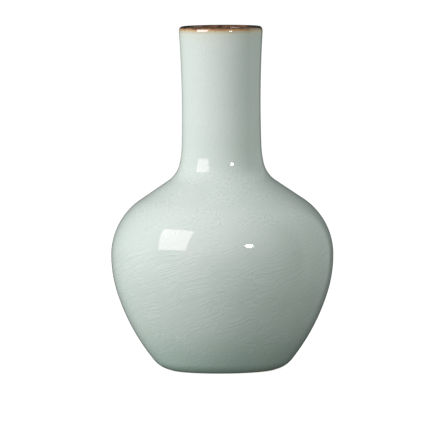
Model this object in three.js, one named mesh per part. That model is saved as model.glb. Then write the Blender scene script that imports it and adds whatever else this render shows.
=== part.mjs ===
// A celadon bottle vase. The round body is thrown in two halves, the neck and the foot ring are thrown apart and
// luted on with slip, and a separate disc closes the base. A thick crackled glaze coats it inside and out, with an
// iron-brown dressing round the mouth and a bare foot.
//
// Lengths are millimetres and angles are degrees. +Z is up. The origin is the centre of the foot on the table.

import * as THREE from "three";

const HEIGHT = 350;
const MOUTH_RADIUS = 38.7; // to the crest of the lip
const WALL = 8; // glaze to glaze, and so the width of the half-round lip
const GLAZE = 1;
const GAP = 0.3; // clearance between neighbouring solids
const SLIP = 1; // thickness of the slip in a joint

const DRESSING_DROP = 2; // how far the iron dressing runs down each side of the lip
const GLAZE_END_HEIGHT = 1.7; // the outer glaze is wiped off below this

const FOOT_RADIUS = 53.2; // outer edge of the flat that rests on the table
const FOOT_FLAT = 7.6; // width of that flat
const FOOT_BEVEL = 0.8; // inner edge of the ring
const RECESS_DEPTH = 5.3; // from the table up to the glazed base
const BASE_THICKNESS = 6.2;
const BASE_HOLE_RADIUS = 38; // hole in the lower body that the base disc closes
const BASE_LEDGE = 4; // width of the ledge that carries the disc
const BASE_LEDGE_HEIGHT = 2.9; // from the underside of the lower body

const FACETS = 40; // round the axis
const FINE = 1;
const COARSE = 2; // the inside takes half as many steps as the outside
const LEAST_STEP = 0.3; // no two corners of a profile lie closer than this

// The outside runs from the lip down to the foot in stretches that meet without a corner. A positive turn leads
// away from the axis, and a negative one back towards it.
const LIP_SLANT = -3.8;
const STRETCHES = [
  { name: "neck", radius: 1216, turn: 5.514, steps: 4 },
  { name: "ease", radius: 98, turn: 10.69, steps: 2 },
  { name: "flare", radius: 29.17, turn: 43.596, steps: 5 },
  { name: "slope", length: 34.08, turn: 0, steps: 1 },
  { name: "shoulder", radius: 68, turn: -56, steps: 6 },
  { name: "belly", radius: 127.5, turn: -17.6, steps: 3 },
  { name: "taper", radius: 211, turn: -21.2, steps: 4 },
  { name: "turn_in", radius: 27.5, turn: -36.6, steps: 4 },
];

// Depths below the outside of the glaze.
const CLAY_OUT = GLAZE + GAP;
const CLAY_IN = WALL - CLAY_OUT;

const CLAY_COLOUR = "#c9beb0";
const SLIP_COLOUR = "#d3cabc";
const FOOT_COLOUR = "#b9825c";
const CELADON_COLOUR = "#b4c3ba";
const LINING_COLOUR = "#a9b4a8";
const IRON_COLOUR = "#5a3423";

class Outline {
  constructor(place, heading, stretches) {
    this.stretches = [];
    this.length = 0;
    for (const stretch of stretches) {
      const turn = THREE.MathUtils.degToRad(stretch.turn);
      const length = stretch.length ?? stretch.radius * Math.abs(turn);
      this.stretches.push({ ...stretch, turn, length, heading, place, from: this.length });
      this.length += length;
      ({ place, heading } = this.station(this.length));
    }
  }

  // The place and heading a given distance down from the lip.
  station(distance) {
    const last = this.stretches[this.stretches.length - 1];
    const stretch = this.stretches.find((s) => distance <= s.from + s.length) ?? last;
    const { place, heading, radius } = stretch;
    const travelled = distance - stretch.from;
    if (stretch.turn === 0) {
      const step = new THREE.Vector2(Math.sin(heading), -Math.cos(heading)).multiplyScalar(travelled);
      return { place: place.clone().add(step), heading };
    }
    const side = Math.sign(stretch.turn) * radius;
    const turned = heading + travelled / side;
    const r = place.x + side * (Math.cos(heading) - Math.cos(turned));
    const z = place.y - side * (Math.sin(turned) - Math.sin(heading));
    return { place: new THREE.Vector2(r, z), heading: turned };
  }

  // A point under the outside, a given depth along the normal.
  point(distance, depth) {
    const { place, heading } = this.station(distance);
    const normal = new THREE.Vector2(Math.cos(heading), Math.sin(heading));
    return place.clone().addScaledVector(normal, -depth);
  }

  start(name) {
    return this.stretches.find((stretch) => stretch.name === name).from;
  }

  // The distance at which the surface at a given depth comes down to a given height.
  reach(height, depth) {
    let above = 0;
    let below = this.length;
    for (let i = 0; i < 40; i += 1) {
      const middle = (above + below) / 2;
      if (this.point(middle, depth).y > height) above = middle;
      else below = middle;
    }
    return above;
  }

  // The points of the surface at one depth, with a corner at each step of each stretch on the way.
  skin(from, to, depth, fineness) {
    const distances = [from];
    for (const stretch of this.stretches) {
      const steps = Math.ceil(stretch.steps / fineness);
      for (let i = 0; i < steps; i += 1) {
        const distance = stretch.from + (stretch.length * i) / steps;
        if (distance > from + LEAST_STEP && distance < to - LEAST_STEP) distances.push(distance);
      }
    }
    distances.push(to);
    return distances.map((distance) => this.point(distance, depth));
  }

  // A closed band of wall between two distances and two depths.
  wall(from, to, outer, inner, innerFineness) {
    return [...this.skin(from, to, outer, FINE), ...this.skin(from, to, inner, innerFineness).reverse()];
  }
}

const lipCentre = new THREE.Vector2(MOUTH_RADIUS, HEIGHT - WALL / 2);
const lipSlant = THREE.MathUtils.degToRad(LIP_SLANT);
const outline = new Outline(lipPoint(0, WALL / 2), lipSlant, STRETCHES);

const neckJoint = outline.start("ease");
const bellyJoint = outline.start("belly");
const innerCorner = outline.start("turn_in");
const jointHalf = SLIP / 2 + GAP;

const footTop = RECESS_DEPTH - GAP;
const bodyBase = footTop + SLIP + 2 * GAP;
const floorTop = bodyBase + BASE_THICKNESS;
const ledgeTop = bodyBase + BASE_LEDGE_HEIGHT;
const footInner = FOOT_RADIUS - FOOT_FLAT - FOOT_BEVEL;
const glazeEnd = outline.reach(GLAZE_END_HEIGHT, 0);

// A point on a half-round about the lip's centre, from the outside (0) over the crest to the inside (180).
function lipPoint(angle, radius) {
  const direction = THREE.MathUtils.degToRad(angle) + lipSlant;
  const arm = new THREE.Vector2(Math.cos(direction), Math.sin(direction)).multiplyScalar(radius);
  return lipCentre.clone().add(arm);
}

function lipArc(radius, steps) {
  const points = [];
  for (let i = 1; i < steps; i += 1) points.push(lipPoint((180 * i) / steps, radius));
  return points;
}

function point(r, z) {
  return new THREE.Vector2(r, z);
}

// Turns a closed profile, or one that starts and ends on the axis, into a solid about +Z.
function turned(name, colour, roughness, profile) {
  const points = THREE.ShapeUtils.area(profile) < 0 ? [...profile].reverse() : [...profile];
  const solidToAxis = points[0].x === 0 || points[points.length - 1].x === 0;
  if (!solidToAxis) points.push(points[0].clone());
  const geometry = new THREE.LatheGeometry(points, FACETS);
  geometry.rotateX(Math.PI / 2);
  const material = new THREE.MeshStandardMaterial({ color: colour, roughness, metalness: 0 });
  const mesh = new THREE.Mesh(geometry, material);
  mesh.name = name;
  return mesh;
}

// A bare ring with a flat to stand on. Its outer bevel carries on the curve of the glazed body above it.
function footRing() {
  const bareFrom = glazeEnd + GAP;
  return turned("foot_ring", FOOT_COLOUR, 0.85, [
    ...outline.skin(outline.reach(footTop, CLAY_OUT), bareFrom, CLAY_OUT, FINE),
    outline.point(bareFrom, 0),
    point(FOOT_RADIUS, 0),
    point(FOOT_RADIUS - FOOT_FLAT, 0),
    point(footInner, FOOT_BEVEL),
    point(footInner, footTop),
  ]);
}

function footJointSlip() {
  const top = footTop + GAP + SLIP;
  const bottom = footTop + GAP;
  return turned("foot_joint_slip", SLIP_COLOUR, 0.9, [
    outline.point(outline.reach(top, CLAY_OUT), CLAY_OUT),
    outline.point(outline.reach(bottom, CLAY_OUT), CLAY_OUT),
    point(footInner + GAP, bottom),
    point(footInner + GAP, top),
  ]);
}

// A stepped disc that drops onto the ledge from inside the body.
function baseDisc() {
  const plugRadius = BASE_HOLE_RADIUS - GAP;
  const flangeRadius = BASE_HOLE_RADIUS + BASE_LEDGE - GAP;
  return turned("base_disc", CLAY_COLOUR, 0.85, [
    point(0, bodyBase),
    point(plugRadius, bodyBase),
    point(plugRadius, ledgeTop + GAP),
    point(flangeRadius, ledgeTop + GAP),
    point(flangeRadius, floorTop),
    point(0, floorTop),
  ]);
}

function baseGlaze() {
  const radius = footInner - 2 * GAP;
  return turned("base_glaze", CELADON_COLOUR, 0.2, [
    point(0, RECESS_DEPTH),
    point(radius, RECESS_DEPTH),
    point(radius, RECESS_DEPTH + GLAZE),
    point(0, RECESS_DEPTH + GLAZE),
  ]);
}

// The lower half, thrown as a bowl with a hole in its floor.
function lowerBody() {
  const rim = bellyJoint + jointHalf;
  const corner = outline.point(innerCorner, CLAY_IN);
  const floorEdge = corner.x - (corner.y - floorTop);
  return turned("lower_body", CLAY_COLOUR, 0.85, [
    ...outline.skin(rim, outline.reach(bodyBase, CLAY_OUT), CLAY_OUT, FINE),
    point(BASE_HOLE_RADIUS, bodyBase),
    point(BASE_HOLE_RADIUS, ledgeTop),
    point(BASE_HOLE_RADIUS + BASE_LEDGE, ledgeTop),
    point(BASE_HOLE_RADIUS + BASE_LEDGE, floorTop),
    point(floorEdge, floorTop),
    ...outline.skin(rim, innerCorner, CLAY_IN, COARSE).reverse(),
  ]);
}

function upperBody() {
  const profile = outline.wall(neckJoint + jointHalf, bellyJoint - jointHalf, CLAY_OUT, CLAY_IN, COARSE);
  return turned("upper_body", CLAY_COLOUR, 0.85, profile);
}

// The slip that holds two thrown pieces together, a given distance down from the lip.
function jointSlip(name, distance) {
  const profile = outline.wall(distance - SLIP / 2, distance + SLIP / 2, CLAY_OUT, CLAY_IN, FINE);
  return turned(name, SLIP_COLOUR, 0.9, profile);
}

function neck() {
  const end = neckJoint - jointHalf;
  return turned("neck", CLAY_COLOUR, 0.85, [
    ...outline.skin(0, end, CLAY_OUT, FINE),
    ...outline.skin(0, end, CLAY_IN, COARSE).reverse(),
    ...lipArc(WALL / 2 - CLAY_OUT, 4).reverse(),
  ]);
}

// The iron dressing, a cap that sits over the lip.
function lipDressing() {
  return turned("lip_dressing", IRON_COLOUR, 0.25, [
    ...outline.skin(0, DRESSING_DROP, GLAZE, FINE).reverse(),
    ...lipArc(WALL / 2 - GLAZE, 4),
    ...outline.skin(0, DRESSING_DROP, WALL - GLAZE, FINE),
    ...outline.skin(0, DRESSING_DROP, WALL, FINE).reverse(),
    ...lipArc(WALL / 2, 6).reverse(),
    ...outline.skin(0, DRESSING_DROP, 0, FINE),
  ]);
}

function outerGlaze() {
  const profile = outline.wall(DRESSING_DROP + GAP, glazeEnd, 0, GLAZE, FINE);
  return turned("outer_glaze", CELADON_COLOUR, 0.15, profile);
}

// The lining, a bottle-shaped skin that also seals the base disc in from above.
function innerGlaze() {
  const top = DRESSING_DROP + GAP;
  const outerDepth = WALL - GLAZE;
  const outerCorner = outline.point(innerCorner, outerDepth);
  const linedCorner = outline.point(innerCorner, WALL);
  const underside = floorTop + GAP;
  const upside = underside + GLAZE;
  return turned("inner_glaze", LINING_COLOUR, 0.2, [
    point(0, underside),
    point(outerCorner.x - (outerCorner.y - underside), underside),
    ...outline.skin(top, innerCorner, outerDepth, COARSE).reverse(),
    ...outline.skin(top, innerCorner, WALL, COARSE),
    point(linedCorner.x - (linedCorner.y - upside), upside),
    point(0, upside),
  ]);
}

const vase = new THREE.Group();
vase.add(
  footRing(),
  footJointSlip(),
  baseDisc(),
  baseGlaze(),
  lowerBody(),
  jointSlip("belly_joint_slip", bellyJoint),
  upperBody(),
  jointSlip("neck_joint_slip", neckJoint),
  neck(),
  lipDressing(),
  outerGlaze(),
  innerGlaze(),
);

export default vase;
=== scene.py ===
"""A crackle-glazed celadon bottle vase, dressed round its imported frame.

Lengths are metres and angles are degrees. +Z is up, and the vase stands on z = 0.
"""

import logging
import math
from dataclasses import dataclass, field
from enum import Enum
from typing import Any, Callable, Iterable

import bpy
from mathutils import Matrix, Vector


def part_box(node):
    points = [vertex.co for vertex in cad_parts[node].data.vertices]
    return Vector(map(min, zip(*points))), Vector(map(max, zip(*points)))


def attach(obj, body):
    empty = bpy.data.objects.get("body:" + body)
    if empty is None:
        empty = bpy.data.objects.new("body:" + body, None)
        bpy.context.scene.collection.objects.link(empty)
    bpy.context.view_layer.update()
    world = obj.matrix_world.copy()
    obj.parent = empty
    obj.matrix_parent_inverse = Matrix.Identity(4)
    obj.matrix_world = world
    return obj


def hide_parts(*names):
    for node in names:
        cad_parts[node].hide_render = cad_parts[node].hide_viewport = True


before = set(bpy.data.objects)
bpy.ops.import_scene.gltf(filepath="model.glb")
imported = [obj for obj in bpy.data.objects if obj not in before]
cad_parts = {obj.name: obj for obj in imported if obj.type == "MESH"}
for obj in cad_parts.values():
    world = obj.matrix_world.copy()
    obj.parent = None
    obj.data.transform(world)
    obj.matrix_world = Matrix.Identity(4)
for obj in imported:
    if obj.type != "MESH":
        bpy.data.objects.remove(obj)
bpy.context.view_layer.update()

log = logging.getLogger("vase")

MM = 0.001
BODY = "root"
HALVINGS = 40
ROUNDS = 30

Object = bpy.types.Object
Material = bpy.types.Material
Colour = tuple[float, float, float]
Place = tuple[float, float]


# ------------------------------------------------------------
# Node trees
# ------------------------------------------------------------


def operator(operation: str, first: bool = True) -> Callable[["Socket", Any], "Socket"]:
    """Makes an operator of Socket, which adds a Math node with the socket as its first or last operand."""
    return lambda socket, other: socket.math(operation, other, first=first)


class Socket:
    """An output socket that can be used in arithmetic. Each operator adds one Math node."""

    def __init__(self, sheet: "Sheet", socket: bpy.types.NodeSocket) -> None:
        """Wraps a socket.

        Args:
            sheet: The node tree's sheet.
            socket: The output socket.
        """
        self.sheet = sheet
        self.socket = socket

    def math(self, operation: str, *others: Any, first: bool = True) -> "Socket":
        """Adds a Math node.

        Args:
            operation: The Math node's operation.
            others: The other operands, numbers or sockets.
            first: Whether this socket is the first operand, rather than the last.

        Returns:
            The node's output.
        """
        operands = [self, *others] if first else [*others, self]
        return self.sheet.add("ShaderNodeMath", {"operation": operation}, dict(enumerate(operands)))

    __add__ = operator("ADD")
    __radd__ = operator("ADD", first=False)
    __sub__ = operator("SUBTRACT")
    __rsub__ = operator("SUBTRACT", first=False)
    __mul__ = operator("MULTIPLY")
    __rmul__ = operator("MULTIPLY", first=False)
    __truediv__ = operator("DIVIDE")

    def __neg__(self) -> "Socket":
        """Returns -self."""
        return self.math("MULTIPLY", -1.0)

    def rise(self, low: float, high: float, start: float = 0.0, end: float = 1.0) -> "Socket":
        """Adds a smooth step.

        Args:
            low: Where the step starts.
            high: Where it ends.
            start: The value below low.
            end: The value above high.

        Returns:
            The step's value.
        """
        sockets = {"Value": self, "From Min": low, "From Max": high, "To Min": start, "To Max": end}
        return self.sheet.add("ShaderNodeMapRange", {"interpolation_type": "SMOOTHSTEP"}, sockets)


class Sheet:
    """A node tree under construction."""

    def __init__(self, tree: bpy.types.NodeTree) -> None:
        """Starts on an empty tree.

        Args:
            tree: A shader or geometry node tree. Its nodes are removed.
        """
        self.tree = tree
        tree.nodes.clear()

    def node(self, kind: str, settings: dict | None = None, sockets: dict | None = None) -> Any:
        """Adds a node, sets it and links it.

        Args:
            kind: The node's type.
            settings: The node's own properties, which are set first.
            sockets: A value, a Socket or a Blender socket for each input, by name or number.

        Returns:
            The node.
        """
        made = self.tree.nodes.new(kind)
        for name, value in (settings or {}).items():
            setattr(made, name, value)
        for key, value in (sockets or {}).items():
            self.feed(self.input_of(made, key), value)
        return made

    def add(
        self, kind: str, settings: dict | None = None, sockets: dict | None = None, out: Any = None
    ) -> Socket:
        """Adds a node and returns one of its outputs.

        Args:
            kind: The node's type.
            settings: The node's own properties, which are set first.
            sockets: Values or links for its inputs.
            out: The output's name or number. The first one in use is the default.

        Returns:
            The wrapped output.
        """
        made = self.node(kind, settings, sockets)
        if out is None:
            chosen = next(s for s in made.outputs if s.enabled)
        elif isinstance(out, int):
            chosen = made.outputs[out]
        else:
            chosen = next(s for s in made.outputs if s.enabled and s.name == out)
        return Socket(self, chosen)

    @staticmethod
    def input_of(node: Any, key: Any) -> bpy.types.NodeSocket:
        """Returns a node's input by number, or the enabled one of that name."""
        if isinstance(key, int):
            return node.inputs[key]
        return next(s for s in node.inputs if s.enabled and s.name == key)

    def feed(self, target: bpy.types.NodeSocket, value: Any) -> None:
        """Links or sets one input.

        Args:
            target: The input socket.
            value: A Socket, a Blender socket, a number, a colour, a vector or a name.
        """
        if isinstance(value, Socket):
            value = value.socket
        if isinstance(value, bpy.types.NodeSocket):
            self.tree.links.new(value, target)
            return
        if target.type == "RGBA" and len(value) == 3:
            value = (*value, 1.0)
        target.default_value = value

    def blend(self, factor: Any, first: Any, second: Any) -> Socket:
        """Mixes two colours."""
        return self.add("ShaderNodeMix", {"data_type": "RGBA"}, {0: factor, 6: first, 7: second}, out=2)

    def tint(self, factor: Any, first: Any, second: Any) -> Socket:
        """Multiplies a colour by another, as far as the factor says."""
        settings = {"data_type": "RGBA", "blend_type": "MULTIPLY"}
        return self.add("ShaderNodeMix", settings, {0: factor, 6: first, 7: second}, out=2)

    def vector(self, x: Any, y: Any, z: Any) -> Socket:
        """Joins three values into a vector."""
        return self.add("ShaderNodeCombineXYZ", None, {0: x, 1: y, 2: z})

    def split(self, vector: Any) -> tuple[Socket, Socket, Socket]:
        """Splits a vector into its three values."""
        made = self.node("ShaderNodeSeparateXYZ", None, {0: vector})
        return Socket(self, made.outputs[0]), Socket(self, made.outputs[1]), Socket(self, made.outputs[2])

    def vector_math(self, operation: str, *operands: Any) -> Socket:
        """Adds a Vector Math node. A scale's second operand is its number."""
        if operation == "SCALE":
            sockets = {"Vector": operands[0], "Scale": operands[1]}
        else:
            sockets = dict(enumerate(operands))
        return self.add("ShaderNodeVectorMath", {"operation": operation}, sockets)

    def measure(self, operation: str, *operands: Any) -> Socket:
        """Adds a Vector Math node that gives one number."""
        node = self.node("ShaderNodeVectorMath", {"operation": operation}, dict(enumerate(operands)))
        return Socket(self, node.outputs["Value"])

    def noise(self, place: Any, size: float, detail: float = 2.0, rough: float = 0.5) -> Socket:
        """Adds a noise pattern.

        Args:
            place: Coordinates in metres.
            size: The size of its features in metres.
            detail: How many finer layers it has.
            rough: How strong those layers are.

        Returns:
            A value about 0.5.
        """
        sockets = {"Vector": place, "Scale": 1.0 / size, "Detail": detail, "Roughness": rough}
        return self.add("ShaderNodeTexNoise", {"noise_dimensions": "3D"}, sockets)


# ------------------------------------------------------------
# Finishes
# ------------------------------------------------------------


def new_material(name: str) -> tuple[Material, Sheet, Socket]:
    """Makes an empty node material.

    Args:
        name: The material's name.

    Returns:
        The material, its sheet and the coordinates on the object.
    """
    material = bpy.data.materials.new(name)
    material.use_nodes = True
    sheet = Sheet(material.node_tree)
    return material, sheet, sheet.add("ShaderNodeTexCoord", out="Object")


def from_axis(x: Socket, y: Socket) -> Socket:
    """Returns the distance from the vase's axis."""
    return (x * x + y * y).math("SQRT")


def ripple(along: Socket, pitch: float, wander: Socket) -> Socket:
    """Returns fine waves along a value in metres, from -1 to 1."""
    return (along * (2 * math.pi / pitch) + wander).math("SINE")


def surface(
    sheet: Sheet, colour: Socket, rough: Any, height: Socket, depth: float, **constants: Any
) -> Socket:
    """Makes a Principled shader with a fine relief.

    Args:
        sheet: The material's sheet.
        colour: The base colour.
        rough: The roughness, a number or a socket.
        height: The height of the relief, from 0 to 1.
        depth: What a height of 1 is, in metres.
        constants: Values of the shader's own sockets, each named with _ for a space.

    Returns:
        The shader.
    """
    bump = sheet.add("ShaderNodeBump", None, {"Strength": 1.0, "Distance": depth, "Height": height})
    sockets = {"Base Color": colour, "Roughness": rough, "Normal": bump}
    sockets |= {name.replace("_", " "): value for name, value in constants.items()}
    return sheet.add("ShaderNodeBsdfPrincipled", None, sockets)


def output(sheet: Sheet, shader: Socket) -> None:
    """Ends a material in a shader."""
    sheet.node("ShaderNodeOutputMaterial", None, {"Surface": shader})


@dataclass(frozen=True)
class CrackNet:
    """One family of cracks, where the walls between scattered cells meet the surface.

    The cells lean round the axis as a helix does. A crack keeps one width wherever it runs, because its
    distance is measured along the surface. The last three values say how strongly it shows on each zone.
    """

    width: float
    tall: float
    climb: float
    offset: float = 0.0
    belly: float = 0.0
    shoulder: float = 0.0
    neck: float = 0.0

    def lay(self, sheet: Sheet, place: Socket, normal: Socket) -> tuple[Socket, Socket]:
        """Lays the net on a surface.

        Args:
            sheet: The material's sheet.
            place: Object coordinates.
            normal: The surface's own normal.

        Returns:
            The distance to the nearest crack in metres, and 1 where that crack is above, 0 where it is below.
        """
        x, y, z = sheet.split(place)
        angle = z / -self.climb
        cosine, sine = angle.math("COSINE"), angle.math("SINE")
        px, py = x * cosine - y * sine, x * sine + y * cosine
        spot = sheet.vector(px / self.width, py / self.width + self.offset, z / self.tall)
        near, near_seed = self.cell(sheet, spot, "F1")
        far, far_seed = self.cell(sheet, spot, "F2")
        gap = (far * far - near * near) * 0.5
        gx, gy, gz = sheet.split(sheet.vector_math("SUBTRACT", near_seed, far_seed))
        gx, gy, gz = gx / self.width, gy / self.width, gz / self.tall
        gz = gz + (gx * py - gy * px) / self.climb
        gx, gy = gx * cosine + gy * sine, gy * cosine - gx * sine
        slope = sheet.vector(gx, gy, gz)
        along = sheet.measure("DOT_PRODUCT", slope, normal)
        flat = sheet.vector_math("SUBTRACT", slope, sheet.vector_math("SCALE", normal, along))
        steep = sheet.measure("LENGTH", flat)
        return gap / (steep + 0.001), gz.math("LESS_THAN", 0.0)

    def strength(self, belly: Socket, shoulder: Socket, neck: Socket) -> Socket:
        """Returns how strongly the net shows, from where each zone lies."""
        zones = ((belly, self.belly), (shoulder, self.shoulder), (neck, self.neck))
        shares = [zone * share for zone, share in zones if share]
        return sum(shares[1:], shares[0])

    @staticmethod
    def cell(sheet: Sheet, spot: Socket, feature: str) -> tuple[Socket, Socket]:
        """Finds a cell's distance and its seed point."""
        sockets = {"Vector": spot, "Scale": 1.0, "Randomness": 1.0}
        made = sheet.node("ShaderNodeTexVoronoi", {"voronoi_dimensions": "3D", "feature": feature}, sockets)
        return Socket(sheet, made.outputs["Distance"]), Socket(sheet, made.outputs["Position"])


@dataclass(frozen=True)
class Celadon:
    """Thick grey-green glaze with a crackle that sweeps round the belly and opens out on the neck."""

    name: str = "celadon_crackle"
    full: Colour = (0.672, 0.752, 0.698)
    pooled_and_shaded: Colour = (0.480, 0.612, 0.542)
    painted_neck_light: Colour = (0.750, 0.808, 0.762)
    thin: Colour = (0.700, 0.640, 0.440)
    line: Colour = (0.92, 0.97, 0.94)
    shadow: Colour = (0.78, 0.82, 0.80)
    roughness: float = 0.012
    relief: float = 0.012 * MM
    thin_from: float = 333.0 * MM
    thin_to: float = 344.5 * MM
    foot_pool_and_shade: float = 60.0 * MM
    painted_neck_light_from: float = 290.0 * MM
    shoulder_top: float = 205.0 * MM
    shoulder_foot: float = 135.0 * MM
    peel: float = 9.0 * MM
    index: float = 1.45
    sweep: CrackNet = CrackNet(13 * MM, 27 * MM, climb=36 * MM, belly=1.0)
    cross: CrackNet = CrackNet(24 * MM, 85 * MM, climb=130 * MM, offset=5.0, belly=1.0)
    branch: CrackNet = CrackNet(11 * MM, 9 * MM, climb=-150 * MM, offset=7.0, belly=0.8)
    net: CrackNet = CrackNet(
        6 * MM, 6.5 * MM, climb=300 * MM, offset=9.0, belly=0.25, shoulder=0.75, neck=0.22
    )
    long: CrackNet = CrackNet(15 * MM, 48 * MM, climb=150 * MM, offset=3.0, neck=0.38)
    drift_scale: float = 32.0
    drift: float = 14 * MM
    patch: float = 60 * MM
    fade: float = 16 * MM
    core: tuple[float, float] = (0.20 * MM, 1.00 * MM)
    shaded: tuple[float, float] = (0.6 * MM, 2.2 * MM)

    def build(self) -> Material:
        """Returns the material."""
        material, sheet, place = new_material(self.name)
        z = sheet.split(place)[2]
        patchy = sheet.noise(place, self.patch, 1.0)
        faint = sheet.noise(place, self.fade, 1.0)
        lines, beside = self.crackle(sheet, place, patchy, faint)

        body = sheet.blend(patchy.rise(0.3, 0.7, 0.0, 0.22), self.full, self.pooled_and_shaded)
        # Pooled glaze towards the foot, greener and darker; part of that darkening is painted shade on the
        # downward-facing lower body.
        body = sheet.blend(z.rise(0.0, self.foot_pool_and_shade, 0.9, 0.0), body, self.pooled_and_shaded)
        # Painted light: the upper neck is blended paler towards the top.
        body = sheet.blend(z.rise(self.shoulder_top, self.painted_neck_light_from, 0.0, 0.45), body, self.painted_neck_light)
        body = sheet.tint(beside * 0.75, body, self.shadow)
        body = sheet.blend(lines * z.rise(5 * MM, 45 * MM, 0.18, 0.38), body, self.line)
        ragged = z + (faint - 0.5) * (3 * MM)
        body = sheet.blend(ragged.rise(self.thin_from, self.thin_to) * 0.26, body, self.thin)

        orange_peel = sheet.noise(place, self.peel, 1.0)
        height = orange_peel * 0.25 - lines * 0.12 + beside * 0.05
        rough = self.roughness + lines * 0.02
        output(sheet, surface(sheet, body, rough, height, self.relief, IOR=self.index))
        return material

    def crackle(self, sheet: Sheet, place: Socket, patchy: Socket, faint: Socket) -> tuple[Socket, Socket]:
        """Lays every net of cracks, each on the zones that it shows on.

        Args:
            sheet: The material's sheet.
            place: Object coordinates.
            patchy: Broad patches, where the branching cracks come and go.
            faint: Smaller patches, where every crack fades.

        Returns:
            How much of a crack is at each spot, and how much of the shade on its lower side.
        """
        normal = sheet.add("ShaderNodeNewGeometry", out="True Normal")
        z = sheet.split(place)[2]
        sockets = {"Vector": place, "Scale": self.drift_scale, "Detail": 1.5}
        drift = sheet.add("ShaderNodeTexNoise", None, sockets, out="Color")
        push = sheet.vector_math("SUBTRACT", drift, (0.5, 0.5, 0.5))
        wandering = sheet.vector_math("ADD", place, sheet.vector_math("SCALE", push, self.drift))

        neck = z.rise(self.shoulder_top - 12 * MM, self.shoulder_top + 25 * MM)
        belly = z.rise(self.shoulder_foot - 25 * MM, self.shoulder_foot + 30 * MM, 1.0, 0.0)
        shoulder = (1.0 - neck) * (1.0 - belly)
        nets = (
            (self.sweep, 1.0),
            (self.cross, z.rise(60 * MM, 115 * MM, 1.0, 0.25)),
            (self.branch, patchy.rise(0.40, 0.60)),
            (self.net, 1.0),
            (self.long, 1.0),
        )
        lines: Any = 0.0
        beside: Any = 0.0
        for net, share in nets:
            distance, crack_above = net.lay(sheet, wandering, normal)
            shown = faint.rise(0.30, 0.60, 0.15, 1.0) * net.strength(belly, shoulder, neck) * share
            line = distance.rise(*self.core, 1.0, 0.0) * shown
            shade = distance.rise(*self.shaded, 1.0, 0.0) * shown * crack_above
            lines, beside = line.math("MAXIMUM", lines), shade.math("MAXIMUM", beside)
        return lines, beside


@dataclass(frozen=True)
class IronDressing:
    """Iron-brown glaze on the lip, dark brown where it is thick and amber where it runs thin, with painted
    shade that turns it nearly black at its left and right sides.
    """

    name: str = "iron_dressing"
    painted_edge_shade: Colour = (0.014, 0.008, 0.004)
    thick: Colour = (0.060, 0.028, 0.016)
    brown: Colour = (0.205, 0.108, 0.060)
    amber: Colour = (0.530, 0.320, 0.155)
    thin: Colour = (0.700, 0.610, 0.410)
    celadon: Colour = (0.682, 0.718, 0.635)
    roughness: float = 0.03
    relief: float = 0.008 * MM
    crest: float = 350.0 * MM
    inner_side: float = 38.3 * MM
    outer_side: float = 40.4 * MM
    mottle: float = 5 * MM
    clump: float = 16 * MM
    streak: float = 2.2 * MM
    bands: tuple[tuple[float, float], ...] = ((0.6, 2.9), (2.6, 4.4), (4.0, 6.6))
    index: float = 2.0

    def build(self) -> Material:
        """Returns the material."""
        material, sheet, place = new_material(self.name)
        x, y, z = sheet.split(place)
        radius = from_axis(x, y)
        outside = radius.rise(self.inner_side, self.outer_side)
        mottle = sheet.noise(place, self.mottle, 3.0)
        clump = sheet.noise(place, self.clump, 2.0)
        streaks = sheet.noise(sheet.vector_math("MULTIPLY", place, (1.0, 1.0, 0.3)), self.streak, 2.0)
        lean = x / radius
        dark = sheet.blend(mottle.rise(0.32, 0.62), self.thick, self.brown)
        # Painted shade: the lip turns nearly black towards its sides along x.
        dark = sheet.blend(lean.math("ABSOLUTE").rise(0.62, 0.92) * 0.85, dark, self.painted_edge_shade)
        run = (clump - 0.5) * (2.4 * MM) + (streaks - 0.5) * (1.6 * MM)
        # Painted shade: the bands sit lower towards the sides along x, most on +x, which darkens the lip
        # there.
        run = run - lean.rise(0.2, 1.0) * (0.8 * MM) - (-lean).rise(0.6, 1.0) * (0.2 * MM)
        fall = self.crest - z + run
        colour = dark
        for shade, (top, foot) in zip((self.amber, self.thin, self.celadon), self.bands):
            colour = sheet.blend(fall.rise(top * MM, foot * MM) * outside, colour, shade)
        rough = self.roughness + mottle * 0.04
        output(sheet, surface(sheet, colour, rough, mottle, self.relief, IOR=self.index))
        return material


@dataclass(frozen=True)
class LiningGlaze:
    """Thinner glaze on the inside, brown below the lip and darkened there as painted shade."""

    name: str = "lining_glaze"
    colour: Colour = (0.46, 0.49, 0.42)
    inner_brown_shade: Colour = (0.11, 0.055, 0.034)
    bare: Colour = (0.56, 0.53, 0.44)
    roughness: float = 0.14
    relief: float = 0.05 * MM
    inner_shade_foot: float = 322.0 * MM
    inner_shade_top: float = 343.0 * MM
    patch: float = 25 * MM
    ring: float = 7 * MM
    index: float = 1.5

    def build(self) -> Material:
        """Returns the material."""
        material, sheet, place = new_material(self.name)
        z = sheet.split(place)[2]
        cloud = sheet.noise(place, self.patch, 3.0)
        rings = ripple(z, self.ring, cloud * 4.0)
        colour = sheet.blend(cloud.rise(0.4, 0.75, 0.0, 0.6), self.colour, self.bare)
        # Brown just inside the mouth, darkened as painted shade below the lip.
        inner_shade_mask = (z + (cloud - 0.5) * (9 * MM)).rise(self.inner_shade_foot, self.inner_shade_top)
        colour = sheet.blend(inner_shade_mask, colour, self.inner_brown_shade)
        rough = self.roughness + cloud * 0.1
        output(sheet, surface(sheet, colour, rough, rings * 0.3 + cloud, self.relief, IOR=self.index))
        return material


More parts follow.
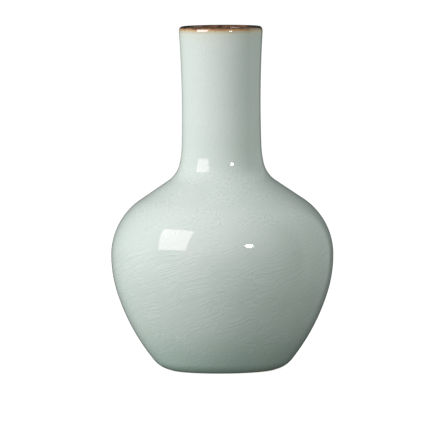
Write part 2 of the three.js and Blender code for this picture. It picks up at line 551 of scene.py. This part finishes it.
@dataclass(frozen=True)
class FiredClay:
    """Unglazed fired body with fine grit and turning lines. The same recipe makes the joining slip."""

    name: str
    light: Colour
    dark: Colour
    grit: float = 0.8 * MM
    relief: float = 0.12 * MM
    roughness: float = 0.82
    patch: float = 30 * MM
    speck_size: float = 2.2 * MM
    pitch: float = 1.3 * MM
    pore: Colour = (0.62, 0.55, 0.48)
    speck: Colour = (0.10, 0.055, 0.03)

    def build(self) -> Material:
        """Returns the material."""
        material, sheet, place = new_material(self.name)
        x, y, z = sheet.split(place)
        radius = from_axis(x, y)
        cloud = sheet.noise(place, self.patch, 3.0)
        grain = sheet.noise(place, self.grit, 2.0, 0.7)
        specks = sheet.noise(place, self.speck_size, 0.0).rise(0.70, 0.76)
        turning = ripple(z + radius, self.pitch, cloud * 5.0)
        colour = sheet.blend(cloud.rise(0.3, 0.7), self.light, self.dark)
        colour = sheet.tint(grain.rise(0.35, 0.7, 0.35, 0.0), colour, self.pore)
        colour = sheet.blend(specks * 0.6, colour, self.speck)
        height = grain * 0.7 + turning * 0.15
        output(sheet, surface(sheet, colour, self.roughness + grain * 0.1, height, self.relief))
        return material


@dataclass(frozen=True)
class BareFoot:
    """Bare clay of the foot, flashed orange on the side where it met the flame, beside the glaze line."""

    name: str = "flashed_foot"
    flashed: Colour = (0.600, 0.350, 0.180)
    smeared: Colour = (0.310, 0.370, 0.320)
    clay: Colour = (0.360, 0.245, 0.165)
    worn: Colour = (0.500, 0.420, 0.330)
    roughness: float = 0.74
    relief: float = 0.10 * MM
    patch: float = 14 * MM
    grit: float = 0.7 * MM
    pitch: float = 0.9 * MM
    flame: tuple[float, float, float] = (0.966, -0.259, 0.0)
    flash_edge: tuple[float, float] = (34 * MM, 48 * MM)
    glaze_edge: tuple[float, float] = (50 * MM, 54.5 * MM)

    def build(self) -> Material:
        """Returns the material."""
        material, sheet, place = new_material(self.name)
        x, y, z = sheet.split(place)
        radius = from_axis(x, y)
        cloud = sheet.noise(place, self.patch, 3.0)
        grain = sheet.noise(place, self.grit, 2.0, 0.7)
        turning = ripple(radius, self.pitch, cloud * 4.0)
        toward = sheet.measure("DOT_PRODUCT", place, self.flame)
        fired = (toward + (cloud - 0.5) * (20 * MM)).rise(*self.flash_edge)
        edge = (radius + (cloud - 0.5) * (5 * MM)).rise(*self.glaze_edge)
        beside_glaze = sheet.blend(fired, self.smeared, self.flashed)
        colour = sheet.blend(edge, self.clay, beside_glaze)
        rubbed = (0.35 * MM - z).rise(0.0, 0.3 * MM) * grain.rise(0.35, 0.6)
        colour = sheet.blend(rubbed * 0.5, colour, self.worn)
        height = grain * 0.7 + turning * 0.2
        output(sheet, surface(sheet, colour, self.roughness + grain * 0.12, height, self.relief))
        return material


@dataclass(frozen=True)
class StudioFloor:
    """Pale seamless paper that stays bright, takes only a faint shadow, and is clear from below."""

    name: str = "studio_floor"
    paper: Colour = (0.30, 0.30, 0.30)
    glow: Colour = (1.0, 1.0, 1.0)
    strength: float = 0.93
    roughness: float = 0.9
    fibre: float = 1.5 * MM
    relief: float = 0.02 * MM

    def build(self) -> Material:
        """Returns the material."""
        material, sheet, place = new_material(self.name)
        fibre = sheet.noise(place, self.fibre, 2.0)
        colour = sheet.tint(fibre * 0.05, self.paper, (0.8, 0.8, 0.8))
        glow = {"Specular_IOR_Level": 0.0, "Emission_Color": self.glow, "Emission_Strength": self.strength}
        paper = surface(sheet, colour, self.roughness, fibre, self.relief, **glow)
        underside = sheet.add("ShaderNodeNewGeometry", out="Backfacing")
        clear = sheet.add("ShaderNodeBsdfTransparent")
        output(sheet, sheet.add("ShaderNodeMixShader", None, {0: underside, 1: paper, 2: clear}))
        return material


CLAY = FiredClay("fired_clay", (0.56, 0.49, 0.40), (0.47, 0.39, 0.30))
SLIP = FiredClay("joining_slip", (0.64, 0.58, 0.50), (0.56, 0.49, 0.41), grit=0.5 * MM, relief=0.05 * MM)


# ------------------------------------------------------------
# The outline of the pot
# ------------------------------------------------------------


class Bend(Enum):
    """The stretches of the outline, from the lip down. Each has a radius and a turn.

    SLOPE is straight, so its first value is its length.
    """

    NECK = (1216 * MM, 5.514)
    EASE = (98 * MM, 10.69)
    FLARE = (29.17 * MM, 43.596)
    SLOPE = (34.08 * MM, 0.0)
    SHOULDER = (68 * MM, -56.0)
    BELLY = (127.5 * MM, -17.6)
    TAPER = (211 * MM, -21.2)
    TURN_IN = (27.5 * MM, -36.6)


@dataclass
class Outline:
    """The outside of the glaze, as arcs that meet without a corner."""

    mouth_radius: float
    height: float
    wall: float = 8 * MM
    slant: float = -3.8
    starts: dict[str, float] = field(default_factory=dict)
    runs: list[tuple[float, float, float, float, float, float]] = field(default_factory=list)

    def __post_init__(self) -> None:
        """Chains the stretches from the lip to the foot."""
        r, z = self.lip_point(0.0, self.wall / 2)
        heading = math.radians(self.slant)
        travelled = 0.0
        for bend in Bend:
            radius, turn = bend.value
            length = radius * abs(math.radians(turn)) if turn else radius
            side = math.copysign(radius, turn) if turn else 0.0
            self.starts[bend.name] = travelled
            self.runs.append((travelled, length, side, r, z, heading))
            travelled += length
            r, z, heading = self.station(travelled)
        self.length = travelled

    def lip_point(self, angle: float, radius: float) -> Place:
        """Returns a point on a round over the lip, from the outside (0) to the inside (180)."""
        direction = math.radians(angle + self.slant)
        centre = self.height - self.wall / 2
        return self.mouth_radius + radius * math.cos(direction), centre + radius * math.sin(direction)

    def station(self, distance: float) -> tuple[float, float, float]:
        """Finds a place on the outside.

        Args:
            distance: How far it is down from the lip, along the surface.

        Returns:
            Its radius, its height and the heading there, in radians from straight down.
        """
        run = next((run for run in self.runs if distance <= run[0] + run[1]), self.runs[-1])
        start, _, side, r, z, heading = run
        gone = distance - start
        if side == 0.0:
            return r + gone * math.sin(heading), z - gone * math.cos(heading), heading
        turned = heading + gone / side
        return (
            r + side * (math.cos(heading) - math.cos(turned)),
            z - side * (math.sin(turned) - math.sin(heading)),
            turned,
        )

    def point(self, distance: float, depth: float) -> Place:
        """Returns the point a given depth under the outside."""
        r, z, heading = self.station(distance)
        return r - depth * math.cos(heading), z - depth * math.sin(heading)

    def skin(self, start: float, end: float, depth: float, step: float) -> list[Place]:
        """Returns evenly spaced points at one depth, both ends included."""
        count = max(1, round(abs(end - start) / step))
        return [self.point(start + (end - start) * i / count, depth) for i in range(count + 1)]

    def reach(self, height: float) -> float:
        """Returns the distance at which the outside comes down to a given height."""
        above, below = 0.0, self.length
        for _ in range(HALVINGS):
            middle = (above + below) / 2
            if self.station(middle)[1] > height:
                above = middle
            else:
                below = middle
        return above

    def lip_arc(self, radius: float, steps: int, start: float = 0.0) -> list[Place]:
        """Returns the points over the lip from the start angle to the inside, without the two ends."""
        return [self.lip_point(start + (180 - start) * i / steps, radius) for i in range(1, steps)]


def put(name: str, data: Any) -> Object:
    """Makes an object and puts it in the scene."""
    made = bpy.data.objects.new(name, data)
    bpy.context.collection.objects.link(made)
    return made


def rounded(corners: list[tuple[float, float, float]], steps: int = 5) -> list[Place]:
    """Rounds the corners of a path.

    Args:
        corners: Each corner's radius from the axis, its height and how much is taken off it on each side.
        steps: How many steps each round takes.

    Returns:
        The points of the rounded path.
    """
    points: list[Place] = []
    for i, (r, z, cut) in enumerate(corners):
        if cut == 0.0 or i in (0, len(corners) - 1):
            points.append((r, z))
            continue
        here = Vector((r, z))
        before = here + (Vector(corners[i - 1][:2]) - here).normalized() * cut
        after = here + (Vector(corners[i + 1][:2]) - here).normalized() * cut
        for k in range(steps + 1):
            t = k / steps
            spot = before * (1 - t) ** 2 + here * 2 * t * (1 - t) + after * t**2
            points.append((spot.x, spot.y))
    return points


# ------------------------------------------------------------
# Turning a profile on the wheel
# ------------------------------------------------------------


class Wheel:
    """A geometry node tree that turns a profile about the axis, as a wheel does."""

    INPUTS = {
        "Geometry": ("Profile",),
        "Int": ("Facets", "Rows", "Points"),
        "Float": ("Waver", "Waver size", "Throwing lines", "Line pitch", "Seed"),
        "Material": ("Finish",),
    }
    JOIN = 0.002 * MM
    CREASE = math.radians(40)
    CALM = 20 * MM

    def __init__(self) -> None:
        """Builds the tree once."""
        tree = bpy.data.node_groups.new("wheel", "GeometryNodeTree")
        face = tree.interface
        for kind, names in self.INPUTS.items():
            for name in names:
                face.new_socket(name, in_out="INPUT", socket_type="NodeSocket" + kind)
        face.new_socket("Pot", in_out="OUTPUT", socket_type="NodeSocketGeometry")
        self.tree = tree
        self.identifiers = {item.name: item.identifier for item in face.items_tree if item.in_out == "INPUT"}
        self.lay_out(Sheet(tree))

    def lay_out(self, sheet: Sheet) -> None:
        """Lays out the tree's nodes.

        Args:
            sheet: The tree's sheet.
        """
        outputs = sheet.node("NodeGroupInput").outputs
        given = {name: Socket(sheet, outputs[name]) for names in self.INPUTS.values() for name in names}
        facets, rows, profile = given["Facets"], given["Rows"], given["Profile"]
        sockets = {"Size X": facets, "Size Y": rows - 1.0, "Vertices X": facets + 1.0, "Vertices Y": rows}
        grid = sheet.node("GeometryNodeMeshGrid", None, sockets)
        across, up, _ = sheet.split(sheet.add("GeometryNodeInputPosition"))
        column = (across + facets / 2.0).math("ROUND")
        row = (up + (rows - 1.0) / 2.0).math("ROUND")
        index = row.math("FLOORED_MODULO", given["Points"])

        spot = self.sample(sheet, profile, sheet.add("GeometryNodeInputPosition"), "FLOAT_VECTOR", index)
        v = self.sample(sheet, profile, self.named(sheet, "v"), "FLOAT", index)
        turn = column / facets
        angle = turn * (2 * math.pi) - math.pi / 2
        r, _, z = sheet.split(spot)
        cosine, sine = angle.math("COSINE"), angle.math("SINE")
        centred = sheet.vector(r * cosine, r * sine, z)

        waver_place = sheet.vector_math("DIVIDE", centred, given["Waver size"])
        sockets = {"Vector": waver_place, "W": given["Seed"], "Scale": 1.0, "Detail": 1.0}
        waver_noise = sheet.add("ShaderNodeTexNoise", {"noise_dimensions": "4D"}, sockets)
        waver = (waver_noise - 0.5) * 2.0 * given["Waver"]
        turns = (z / given["Line pitch"] - turn) * (2 * math.pi)
        lines = turns.math("SINE") * waver_noise * given["Throwing lines"]
        swollen = r + (waver + lines) * (r / self.CALM).math("MINIMUM", 1.0)
        place = sheet.vector(swollen * cosine, swollen * sine, z)

        sockets = {"Geometry": grid.outputs[0], "Position": place}
        turned = sheet.add("GeometryNodeSetPosition", None, sockets)
        mapped = sheet.add(
            "GeometryNodeStoreNamedAttribute",
            {"data_type": "FLOAT2", "domain": "CORNER"},
            {"Geometry": turned, "Name": "OFBake", "Value": sheet.vector(turn, v, 0.0)},
        )
        joined = sheet.add("GeometryNodeMergeByDistance", None, {"Geometry": mapped, "Distance": self.JOIN})
        smooth = sheet.add("GeometryNodeSetShadeSmooth", {"domain": "FACE"}, {"Geometry": joined})
        angle = sheet.add("GeometryNodeInputMeshEdgeAngle", out=0)
        sharp = angle.math("GREATER_THAN", self.CREASE)
        sockets = {"Geometry": smooth, "Selection": sharp, "Shade Smooth": False}
        creased = sheet.add("GeometryNodeSetShadeSmooth", {"domain": "EDGE"}, sockets)
        real = sheet.add("GeometryNodeRealizeInstances", None, {"Geometry": creased})
        sockets = {"Geometry": real, "Material": given["Finish"]}
        dressed = sheet.add("GeometryNodeSetMaterial", None, sockets)
        sheet.node("NodeGroupOutput", None, {"Pot": dressed})

    @staticmethod
    def named(sheet: Sheet, name: str) -> Socket:
        """Returns a number stored on the profile under a name."""
        return sheet.add("GeometryNodeInputNamedAttribute", {"data_type": "FLOAT"}, {"Name": name})

    @staticmethod
    def sample(sheet: Sheet, source: Socket, value: Socket, kind: str, index: Socket) -> Socket:
        """Reads a value from one point of the profile.

        Args:
            sheet: The tree's sheet.
            source: The profile.
            value: The field that is read.
            kind: The field's data type.
            index: The point's number.

        Returns:
            The value there.
        """
        sockets = {"Geometry": source, "Value": value, "Index": index}
        return sheet.add("GeometryNodeSampleIndex", {"data_type": kind, "domain": "POINT"}, sockets)

    def throw(self, name: str, profile: "Profile", finish: Material, look: "Hand") -> Object:
        """Turns a profile into a finished mesh object.

        Args:
            name: The piece's name.
            profile: The profile, anticlockwise with the axis on its left.
            finish: The piece's material.
            look: How true the piece runs.

        Returns:
            The object, a plain mesh with no modifier.
        """
        draft = profile.mesh(name + "_profile")
        lathe = put(name + "_profile", draft)
        modifier = lathe.modifiers.new("wheel", "NODES")
        modifier.node_group = self.tree
        values = {
            "Facets": look.facets,
            "Rows": len(profile.points) + (1 if profile.closed else 0),
            "Points": len(profile.points),
            "Waver": look.waver,
            "Waver size": look.waver_size,
            "Throwing lines": look.lines,
            "Line pitch": look.pitch,
            "Seed": look.seed,
            "Finish": finish,
        }
        for label, value in values.items():
            modifier[self.identifiers[label]] = value
        lathe.update_tag()
        graph = bpy.context.evaluated_depsgraph_get()
        mesh = bpy.data.meshes.new_from_object(lathe.evaluated_get(graph), depsgraph=graph)
        bpy.data.objects.remove(lathe)
        bpy.data.meshes.remove(draft)
        mesh.name = name
        return put(name, mesh)


@dataclass
class Hand:
    """How a piece was thrown: its facets, and how far its surface strays from true."""

    facets: int = 192
    waver: float = 0.0
    waver_size: float = 70 * MM
    lines: float = 0.0
    pitch: float = 7 * MM
    seed: float = 1.0


@dataclass
class Profile:
    """A half section of a piece, anticlockwise with the axis on its left."""

    points: list[Place]
    closed: bool = True
    hidden_from: int | None = None
    hidden_share: float = 0.04
    margin: float = 0.002

    def rows(self) -> list[float]:
        """Returns each point's height in the map.

        The points past hidden_from, which nobody sees, share a narrow strip at the top.
        """
        travelled = [0.0]
        for a, b in zip(self.points, self.points[1:]):
            travelled.append(travelled[-1] + math.dist(a, b))
        margin, whole = self.margin, travelled[-1]
        if self.hidden_from is None:
            return [margin + (1.0 - 2 * margin) * t / whole for t in travelled]
        shown = travelled[self.hidden_from]
        share, top = self.hidden_share - 2 * margin, 1.0 - self.hidden_share
        low = [margin + (top - 2 * margin) * t / shown for t in travelled if t <= shown]
        return low + [top + share * (t - shown) / (whole - shown) for t in travelled if t > shown]

    def mesh(self, name: str) -> bpy.types.Mesh:
        """Returns the profile as a mesh of loose points in the XZ plane, with v on each."""
        mesh = bpy.data.meshes.new(name)
        mesh.from_pydata([(r, 0.0, z) for r, z in self.points], [], [])
        rows = mesh.attributes.new("v", "FLOAT", "POINT")
        rows.data.foreach_set("value", self.rows())
        return mesh


# ------------------------------------------------------------
# The vase
# ------------------------------------------------------------


def fit(piece: Object, node: str) -> Object:
    """Puts a piece in the place of a CAD node.

    Args:
        piece: The finished piece.
        node: The CAD node that it stands for.

    Returns:
        The piece.
    """
    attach(piece, BODY)
    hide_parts(node)
    return piece


@dataclass
class Coats:
    """The glazes and the iron dressing, which are all that shows of the vase above its foot."""

    outline: Outline
    wheel: Wheel
    glaze: float = 1 * MM
    dressing_drop: float = 2 * MM
    lip_fullness: float = 2.35
    glaze_end: float = 1.7 * MM
    step: float = 1.4 * MM
    hidden_step: float = 7 * MM
    floor_height: float = 14.1 * MM

    def outer(self) -> Object:
        """Returns the crackled coat, with a rolled lower edge."""
        top, end = self.dressing_drop, self.outline.reach(self.glaze_end)
        outside = self.outline.skin(end, top, 0.0, self.step)
        inside = self.outline.skin(top, end, self.glaze, self.hidden_step)
        roll = self.rolled_edge(end)
        profile = Profile([*outside, *inside, *roll], hidden_from=len(outside) - 1)
        hand = Hand(224, waver=0.14 * MM, waver_size=80 * MM, lines=0.003 * MM, pitch=6.5 * MM, seed=4.0)
        piece = self.wheel.throw("celadon_coat", profile, Celadon().build(), hand)
        return fit(piece, "outer_glaze")

    def rolled_edge(self, end: float, steps: int = 6) -> list[Place]:
        """Returns the points between the inside and the outside of the coat's lower edge, round the end."""
        heading = self.outline.station(end)[2]
        middle = self.outline.point(end, self.glaze / 2)
        along, out = math.cos(heading), math.sin(heading)
        points = []
        for i in range(1, steps):
            angle = math.pi * (1 - i / steps)
            across, ahead = math.cos(angle) * self.glaze / 2, math.sin(angle) * self.glaze / 2
            aside, down = across * along + ahead * out, across * out - ahead * along
            points.append((middle[0] + aside, middle[1] + down))
        return points

    def lip(self) -> Object:
        """Returns the iron dressing, a cap over the half-round lip."""
        wall, drop, fine = self.outline.wall, self.dressing_drop, 0.35 * MM
        skin, arc = self.outline.skin, self.outline.lip_arc
        crest = 90.0 - self.outline.slant
        points = [
            *self.outer_quarter(drop, self.outline.lip_point(crest, wall / 2)),
            *arc(wall / 2, 16, crest),
            *skin(0.0, drop, wall, fine),
            *skin(drop, 0.0, wall - self.glaze, fine),
            *reversed(arc(wall / 2 - self.glaze, 14)),
            *skin(0.0, drop, self.glaze, fine),
        ]
        hand = Hand(facets=192, waver=0.12 * MM, waver_size=30 * MM, seed=2.0)
        piece = self.wheel.throw("iron_lip", Profile(points), IronDressing().build(), hand)
        return fit(piece, "lip_dressing")

    def outer_quarter(self, drop: float, crest: Place, steps: int = 20) -> list[Place]:
        """Returns the outside of the lip, a full quarter-round from the coat's edge up to the crest.

        Args:
            drop: How far down the outside the dressing starts.
            crest: The highest point of the lip.
            steps: How many steps the quarter takes.

        Returns:
            The points, both ends included.
        """
        r, z, heading = self.outline.station(drop)
        rise = crest[1] - z
        lean = -rise * math.tan(heading)
        reach = r + lean - crest[0]
        points = []
        for i in range(steps + 1):
            angle = math.pi / 2 * i / steps
            inward = 1 - math.cos(angle) ** (2 / self.lip_fullness)
            upward = math.sin(angle) ** (2 / self.lip_fullness)
            points.append((r - reach * inward + lean * upward, z + rise * upward))
        return points

    def lining(self) -> Object:
        """Returns the lining, closed across the floor."""
        corner = self.outline.starts["TURN_IN"] - 2 * MM
        top, wall = self.dressing_drop, self.outline.wall
        under = wall - self.glaze
        inner_corner = self.outline.point(corner, wall)
        outer_corner = self.outline.point(corner, under)
        low, high = self.floor_height - self.glaze, self.floor_height
        inner_foot = inner_corner[0] - (inner_corner[1] - high) * 0.9
        outer_foot = outer_corner[0] - (outer_corner[1] - low) * 0.9
        floor_over = rounded([(*inner_corner, 0.0), (inner_foot, high, 2.5 * MM), (0.0, high, 0.0)])
        floor_under = rounded([(0.0, low, 0.0), (outer_foot, low, 2.5 * MM), (*outer_corner, 0.0)])
        points = [
            *floor_under[:-1],
            *self.outline.skin(corner, top, under, self.hidden_step),
            *self.outline.skin(top, corner, wall, 3 * MM),
            *floor_over[1:],
        ]
        hand = Hand(facets=128, lines=0.12 * MM, pitch=8 * MM, seed=7.0)
        piece = self.wheel.throw("lining_coat", Profile(points, closed=False), LiningGlaze().build(), hand)
        return fit(piece, "inner_glaze")


@dataclass
class Foot:
    """The bare foot ring and the glazed base inside it."""

    outline: Outline
    wheel: Wheel
    glaze_end: float = 1.7 * MM
    flat_outer: float = 53.2 * MM
    flat_inner: float = 45.6 * MM
    bevel: float = 0.8 * MM
    gap: float = 0.3 * MM
    cover: float = 1.3 * MM
    recess: float = 5.3 * MM
    dip: float = 0.2 * MM
    glaze: float = 1 * MM

    def ring(self) -> Object:
        """Returns the foot ring, its outer bevel carrying on the curve of the body."""
        bare = self.outline.reach(self.glaze_end) + self.gap
        top = self.recess - self.gap
        inner = self.flat_inner - self.bevel
        bare_r, bare_z = self.outline.point(bare, 0.0)
        under_r, under_z = self.outline.point(bare, self.cover)
        joint_r = self.side_at(top)
        corners = [
            (inner, top, 0.3 * MM),
            (inner, self.bevel, 0.4 * MM),
            (self.flat_inner, 0.0, 0.3 * MM),
            (self.flat_outer, 0.0, 0.5 * MM),
            (bare_r, bare_z, 0.4 * MM),
            (under_r, under_z, 0.2 * MM),
            (joint_r, top, 0.2 * MM),
        ]
        closing = [*corners, corners[0], corners[1]]
        points = rounded([corners[-1], *closing])[1:-7]
        piece = self.wheel.throw("turned_foot", Profile(points), BareFoot().build(), Hand(160, seed=3.0))
        return fit(piece, "foot_ring")

    def side_at(self, height: float) -> float:
        """Returns the radius of the clay under the glaze at a given height."""
        distance = self.outline.reach(height - self.cover)
        for _ in range(ROUNDS):
            r, z = self.outline.point(distance, self.cover)
            distance += z - height
        return r

    def base(self) -> Object:
        """Returns the glazed base in the recess."""
        radius = self.flat_inner - self.bevel - 2 * self.gap
        low, high, steps = self.recess, self.recess + self.glaze, 24
        centre = (0.0, low + self.dip, 0.0)
        corners = [centre, (radius, low, 0.35 * MM), (radius, high, 0.2 * MM), (0.0, high, 0.0)]
        dish = [(radius * 0.985 * i / steps, low + self.dip * (1 - (i / steps) ** 2)) for i in range(steps)]
        profile = Profile([*dish, *rounded(corners)[1:]], closed=False)
        piece = self.wheel.throw("glazed_base", profile, self.base_finish(), Hand(96))
        return fit(piece, "base_glaze")

    @staticmethod
    def base_finish() -> Material:
        """Returns the glaze of the base, the same crackle in a thinner coat."""
        return Celadon(name="base_crackle", full=(0.60, 0.65, 0.59), pooled_and_shaded=(0.50, 0.56, 0.50)).build()


@dataclass
class Clay:
    """The thrown pieces and the slips under the glaze, which keep their CAD shapes."""

    clay_nodes: tuple[str, ...] = ("base_disc", "lower_body", "upper_body", "neck")
    slip_nodes: tuple[str, ...] = ("foot_joint_slip", "belly_joint_slip", "neck_joint_slip")

    def dress(self) -> list[str]:
        """Gives each node its finish.

        Returns:
            The names of the nodes.
        """
        for nodes, recipe in ((self.clay_nodes, CLAY), (self.slip_nodes, SLIP)):
            material = recipe.build()
            for name in nodes:
                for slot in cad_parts[name].material_slots:
                    slot.material = material
        return [*self.clay_nodes, *self.slip_nodes]


# ------------------------------------------------------------
# The studio
# ------------------------------------------------------------


class Side(Enum):
    """Whether a light shows in the gloss, and whether it lights matt surfaces."""

    GLOSS_AND_DIFFUSE = (True, True)
    DIFFUSE_ONLY = (False, True)


@dataclass
class Lamp:
    """A soft light, aimed at the vase. It is placed by azimuth and elevation, round the target."""

    name: str
    azimuth: float
    elevation: float
    distance: float
    width: float
    depth: float
    radiance: float
    colour: Colour = (1.0, 1.0, 1.0)
    shape: str = "RECTANGLE"
    roll: float = 0.0
    yaw: float = 0.0
    pitch: float = 0.0
    seen: Side = Side.GLOSS_AND_DIFFUSE
    target: Vector = field(default_factory=lambda: Vector((0.0, 0.0, 0.16)))

    def build(self) -> Object:
        """Returns the light. Its power follows from its area and how bright it looks."""
        direction = self.toward(self.azimuth, self.elevation)
        facing = self.toward(self.azimuth + self.yaw, self.elevation + self.pitch)
        data = bpy.data.lights.new(self.name, "AREA")
        data.shape = self.shape
        data.size, data.size_y = self.width, self.depth
        share = math.pi / 4 if self.shape in ("DISK", "ELLIPSE") else 1.0
        data.energy = self.radiance * math.pi * self.width * self.depth * share
        data.color = self.colour
        lamp = put(self.name, data)
        aim = facing.to_track_quat("Z", "Y").to_matrix().to_4x4()
        turn = Matrix.Rotation(math.radians(self.roll), 4, "Z")
        lamp.matrix_world = Matrix.Translation(self.target + direction * self.distance) @ aim @ turn
        lamp.visible_camera = False
        lamp.visible_glossy, lamp.visible_diffuse = self.seen.value
        return lamp

    @staticmethod
    def toward(azimuth: float, elevation: float) -> Vector:
        """Returns the direction at an azimuth from the front, positive to the right, and an elevation."""
        across, up = math.radians(azimuth), math.radians(elevation)
        return Vector((math.sin(across) * math.cos(up), -math.cos(across) * math.cos(up), math.sin(up)))


@dataclass
class Studio:
    """The camera, the lights and the pale floor."""

    camera_distance: float = 7.1
    camera_height: float = 0.6234
    aim: Vector = field(default_factory=lambda: Vector((-0.00717, 0.0, 0.1576)))
    lens: float = 584.8
    sensor: float = 36.0
    roll: float = -0.41
    floor_half: float = 30.0
    floor_clearance: float = 0.2 * MM
    left_light: Colour = (1.02, 1.17, 1.11)
    right_light: Colour = (0.30, 0.33, 0.305)
    top_light: Colour = (0.13, 0.14, 0.155)
    floor_light: Colour = (0.05, 0.06, 0.055)
    left_low: float = 0.80
    right_low: float = 0.0
    wall_light: float = 0.55
    dim_light: float = 0.05

    def camera(self) -> Object:
        """Returns the camera, a long lens from a little above the mouth."""
        data = bpy.data.cameras.new("camera")
        data.lens, data.sensor_width = self.lens, self.sensor
        data.clip_start, data.clip_end = 0.1, 100.0
        camera = put("camera", data)
        place = Vector((0.0, -self.camera_distance, self.camera_height))
        look = (self.aim - place).to_track_quat("-Z", "Y").to_matrix().to_4x4()
        roll = Matrix.Rotation(math.radians(self.roll), 4, "Z")
        camera.matrix_world = Matrix.Translation(place) @ look @ roll
        bpy.context.scene.camera = camera
        return camera

    def lights(self) -> list[Object]:
        """Returns the softbox on the left, the small round light on the right and its wide soft fill."""
        pink, white, far = (1.0, 0.84, 0.92), (1.0, 1.0, 1.0), 3.0
        softbox = Lamp("softbox", -57.2, 28.2, far, 1.78, 1.70, 5.9, pink, roll=1.75, yaw=13.0, pitch=2.6)
        small = Lamp("round_light", 28.9, 21.0, far, 0.45, 0.34, 26, white, "ELLIPSE")
        fill = Lamp("fill", 29.5, 24.2, far, 1.2, 1.2, 4.2, white, "DISK", seen=Side.DIFFUSE_ONLY)
        lamps = (softbox, small, fill)
        return [lamp.build() for lamp in lamps]

    def floor(self) -> Object:
        """Returns the floor, which shows to the camera but throws no light back on the vase."""
        half, low = self.floor_half, -self.floor_clearance
        mesh = bpy.data.meshes.new("floor")
        corners = [(-half, -half, low), (half, -half, low), (half, half, low), (-half, half, low)]
        mesh.from_pydata(corners, [], [(0, 1, 2, 3)])
        floor = put("floor", mesh)
        mesh.materials.append(StudioFloor().build())
        floor.visible_diffuse = False
        floor.visible_glossy = False
        return floor

    def world(self) -> bpy.types.World:
        """Returns the room: white to the camera, and a soft grey studio to the glaze, brightest on the left.

        Its light on matt surfaces comes from both sides, from above and a little from the floor. In the
        gloss it is dim, apart from a pale wall behind on the right.
        """
        world = bpy.data.worlds.new("studio")
        world.use_nodes = True
        bpy.context.scene.world = world
        sheet = Sheet(world.node_tree)
        x, y, z = sheet.split(sheet.add("ShaderNodeTexCoord", out="Generated"))
        sides = (
            (-x, self.left_light, self.left_low),
            (x, self.right_light, self.right_low),
            (z, self.top_light, 1.0),
            (-z, self.floor_light, 1.0),
        )
        light: Any = (0.0, 0.0, 0.0)
        for toward, colour, low in sides:
            amount = toward.math("MAXIMUM", 0.0) * z.rise(-0.9, 0.05, low, 1.0)
            light = sheet.vector_math("ADD", light, sheet.vector_math("SCALE", colour, amount))
        soft = sheet.add("ShaderNodeBackground", None, {"Color": light, "Strength": 1.0})
        wall = x.rise(0.42, 0.62) * y.rise(-0.05, 0.12) * z.rise(-0.6, 0.0)
        gloss = wall * (self.wall_light - self.dim_light) + self.dim_light
        mirrored = sheet.add("ShaderNodeBackground", None, {"Color": (0.93, 1.0, 0.96), "Strength": gloss})
        white = sheet.add("ShaderNodeBackground", None, {"Color": (1.0, 1.0, 1.0), "Strength": 1.0})
        rays = sheet.node("ShaderNodeLightPath").outputs
        room = sheet.add("ShaderNodeMixShader", None, {0: rays["Is Glossy Ray"], 1: soft, 2: mirrored})
        room = sheet.add("ShaderNodeMixShader", None, {0: rays["Is Camera Ray"], 1: room, 2: white})
        sheet.node("ShaderNodeOutputWorld", None, {"Surface": room})
        return world

    def set_film(self) -> None:
        """Shows colours as they are, with no film curve."""
        view = bpy.context.scene.view_settings
        view.view_transform = "Standard"
        view.look = "None"


def report(pieces: Iterable[Object]) -> None:
    """Logs each piece's size.

    Args:
        pieces: The finished pieces.
    """
    for piece in pieces:
        size = ", ".join(f"{side * 1000:.1f}" for side in piece.dimensions)
        log.info("%s: %s mm, %d faces", piece.name, size, len(piece.data.polygons))


def main() -> None:
    """Builds the studio and then the vase, in order."""
    logging.basicConfig(level=logging.INFO, format="%(message)s")
    studio = Studio()
    studio.set_film()
    studio.camera()
    studio.lights()
    studio.floor()
    studio.world()

    lip_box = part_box("lip_dressing")
    outline = Outline(mouth_radius=38.7 * MM, height=round(lip_box[1][2], 4))
    wheel = Wheel()
    coats, foot = Coats(outline, wheel), Foot(outline, wheel)
    report([coats.outer(), coats.lip(), coats.lining(), foot.ring(), foot.base()])
    log.info("clay dressed: %s", ", ".join(Clay().dress()))


if __name__ == "__main__":
    main()
